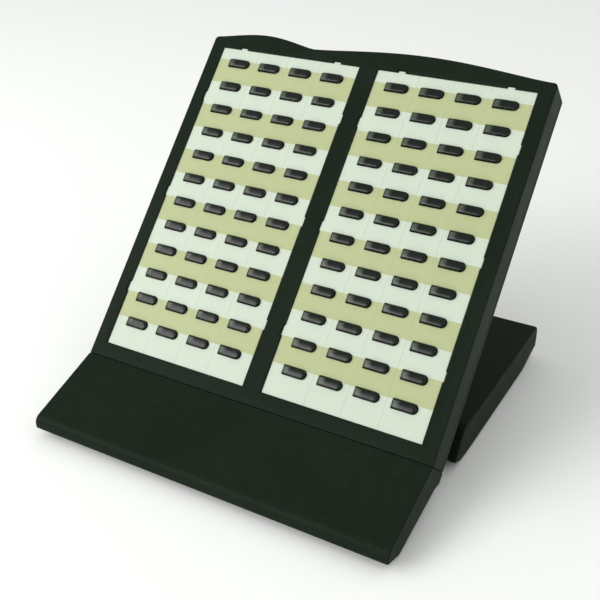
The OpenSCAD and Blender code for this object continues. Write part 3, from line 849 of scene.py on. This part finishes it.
stand_plastic = moulded("stand_plastic", srgb(24, 31, 22), srgb(40, 47, 38), 0.46, grain=1700.0)
stand_shell = solid("stand_moulding", [bar(stand_outline, -stand_half, stand_half, stand_edge)])
carve(stand_shell, [bar(arm_outline, x0, x1, 0.5) for x0, x1 in arm_places], "UNION")
stand_roof = stand_top - wall
cover_y0 = hinge_y + 17
cover_y1 = 71.8
stand_hollow = [Vector(p) for p in (
    (cover_y0 - plate_gap, -1), (cover_y1 + plate_gap, -1), (cover_y1 + plate_gap + 1, 4.4),
    (back_y - wall, 8.4), (back_y - wall, stand_roof - 3), (back_y - 4, stand_roof),
    (hinge_y + 19, stand_roof), (hinge_y + 17, stand_roof - 1.5), (hinge_y + 10, 8),
    (cover_y0 - plate_gap, 4.8))]
carve(stand_shell, [bar(stand_hollow, -stand_half + wall, stand_half - wall)])
carve(stand_shell, [bar(circle(hinge_y, hinge_z, pin_r + 0.02), -stand_half, stand_half)])
settle(stand_shell, stand_plastic, "stand", "stand_plastic", "stand_shell")


# ---- Stand cover ----
# A flat moulded plate that closes the stand from below, held by four screws. Its holes are chamfered
# at their mouths, and a hair's breadth of gap runs round it.

stand_screws = ((-66.0, -4.0), (66.0, -4.0), (-66.0, 64.0), (66.0, 64.0))
plate_top = stand_bottom + 2.0
plate_half = stand_half - wall - plate_gap

plate_outline = rounded([(-plate_half, cover_y0, 1.0), (plate_half, cover_y0, 1.0),
                         (plate_half, cover_y1, 1.0), (-plate_half, cover_y1, 1.0)])
stand_cover = solid("stand_plate", [slab(lambda gap: inset(plate_outline, gap), stand_bottom, plate_top,
                                         0.4, 0.2)])
carve(stand_cover, [sunk_hole(x, y, stand_bottom, plate_top) for x, y in stand_screws])
settle(stand_cover, back_plastic, "stand", "back_plastic", "stand_cover")


# ---- Case screws ----
# Self-tapping pan heads of blackened steel with a cross recess. Six hold the case together, four close
# the hand rest and four the stand; those that join the hand rest to the case are inside.

screw_head_r = 2.8
screw_shank_r = 1.25
head_seat = -15.2
thread_pitch = 0.9


def lathe(profile, steps=32):
    """Rings turned about Z from pairs of radius and height."""
    return [[Vector((q.x, q.y, z)) for q in circle(0, 0, r, steps)] for r, z in profile]


def screw_rings(length, head_h):
    """A pan head over the origin, pointing down, and a threaded shank with a blunt tip above it."""
    head = [(screw_head_r * share, -head_h * rise)
            for share, rise in ((0.45, 1.0), (0.8, 0.94), (0.96, 0.72), (1.0, 0.4), (1.0, 0.0))]
    turns = int((length - 1.4) / thread_pitch)
    root_r = screw_shank_r * 0.8
    thread = [(r, 0.4 + thread_pitch * turn + dz) for turn in range(turns)
              for r, dz in ((root_r, 0.0), (screw_shank_r, 0.35), (screw_shank_r, 0.5), (root_r, 0.85))]
    tip = [(root_r, length - 0.8), (0.25, length)]
    return lathe(head + [(screw_shank_r, 0.0), (root_r, 0.2)] + thread + tip)


def cross_recess(head_h):
    """The two tapered bars that press the cross into a head."""
    corners = ((-1, -1), (1, -1), (1, 1), (-1, 1))
    depths = ((1.1, -head_h - 0.2), (0.7, -head_h + 0.9))
    long, thin = screw_head_r * 0.62, 0.42
    return [[[Vector((x * half_x * taper, y * half_y * taper, z)) for x, y in corners] for taper, z in depths]
            for half_x, half_y in ((long, thin), (thin, long))]


case_screw_place = [Matrix.Translation((x, y, head_seat)) for x, y in case_screws]
stand_screw_place = [Matrix.Translation((x, y, stand_bottom)) for x, y in stand_screws]
on_the_desk = Matrix.Identity(4)
for name, node_name, body, base, length, head_h, places in (
        ("case_screw_set", "case_screws", "console", case_frame, 10.6, 2.0, case_screw_place),
        ("hand_rest_screw_set", "hand_rest_screws", "console", on_the_desk, 8.0, 1.0, rest_screw_place),
        ("stand_screw_set", "stand_screws", "stand", on_the_desk, 9.0, 1.0, stand_screw_place)):
    screws = solid(name, [moved(screw_rings(length, head_h), place) for place in places], base)
    for slot_of_cross in cross_recess(head_h):
        carve(screws, [moved(slot_of_cross, place) for place in places])
    settle(screws, screw_steel, body, "screw_steel", node_name)
coat(screw_steel, "joining_screws")


# ---- Hinge ----
# Two ground steel pins pressed into the arms of the stand, and spring washers between arms and ears
# that hold the case at any lean by friction.

pin_reach = (56.1, 81.9)
washer_r = 5.0
washer_t = 0.8
arm_sides = arm_places[1]

pin_steel = metal("pin_steel", srgb(176, 178, 180), srgb(132, 134, 136), 0.16, 0.34)
pins = solid("hinge_pin_pair", [bar(circle(hinge_y, hinge_z, pin_r), x0, x1, 0.4)
                                for x0, x1 in (pin_reach, (-pin_reach[1], -pin_reach[0]))])
settle(pins, pin_steel, "stand", "pin_steel", "hinge_pins")

washer_starts = (-arm_sides[1] - washer_t, -arm_sides[0], arm_sides[0] - washer_t, arm_sides[1])
washers = solid("hinge_washer_set", [bar(circle(hinge_y, hinge_z, washer_r), x, x + washer_t, 0.2)
                                     for x in washer_starts])
carve(washers, [bar(circle(hinge_y, hinge_z, pin_r + 0.1), -stand_half, stand_half)])
settle(washers, pin_steel, "stand", "pin_steel", "hinge_washers")


# ---- Feet ----
# Six discs of black rubber with a shallow dimple below. Four are glued under the stand, and two,
# cut to its slope, under the hand rest.

foot_r = 5.0
stand_feet_places = ((-84.0, 2.0), (84.0, 2.0), (-84.0, 64.0), (84.0, 64.0))
front_feet_places = ((-80.0, -75.0), (80.0, -75.0))
foot_rubber = moulded("foot_rubber", srgb(16, 16, 16), srgb(44, 44, 42), 0.72, grain=1500.0, depth=0.00006)


def foot_rings(x, y, top):
    """One foot, from the dimple in its underside to its top."""
    rings = slab(lambda gap: circle(x, y, foot_r - gap), 0.0, top, 0.45)
    dimple = [[Vector((q.x, q.y, z)) for q in circle(x, y, r)] for r, z in ((2.6, 0.3), (3.1, 0.0))]
    return dimple + rings


stand_feet = solid("stand_feet_rubber", [foot_rings(x, y, stand_bottom) for x, y in stand_feet_places])
settle(stand_feet, foot_rubber, "stand", "foot_rubber", "stand_feet")
sloped_feet = [foot_rings(x, y, 1.0) for x, y in front_feet_places]
for rings in sloped_feet:
    for point in rings[-1]:
        point.z = under_z(point.y)
front_feet = solid("front_feet_rubber", sloped_feet)
settle(front_feet, foot_rubber, "console", "foot_rubber", "front_feet")
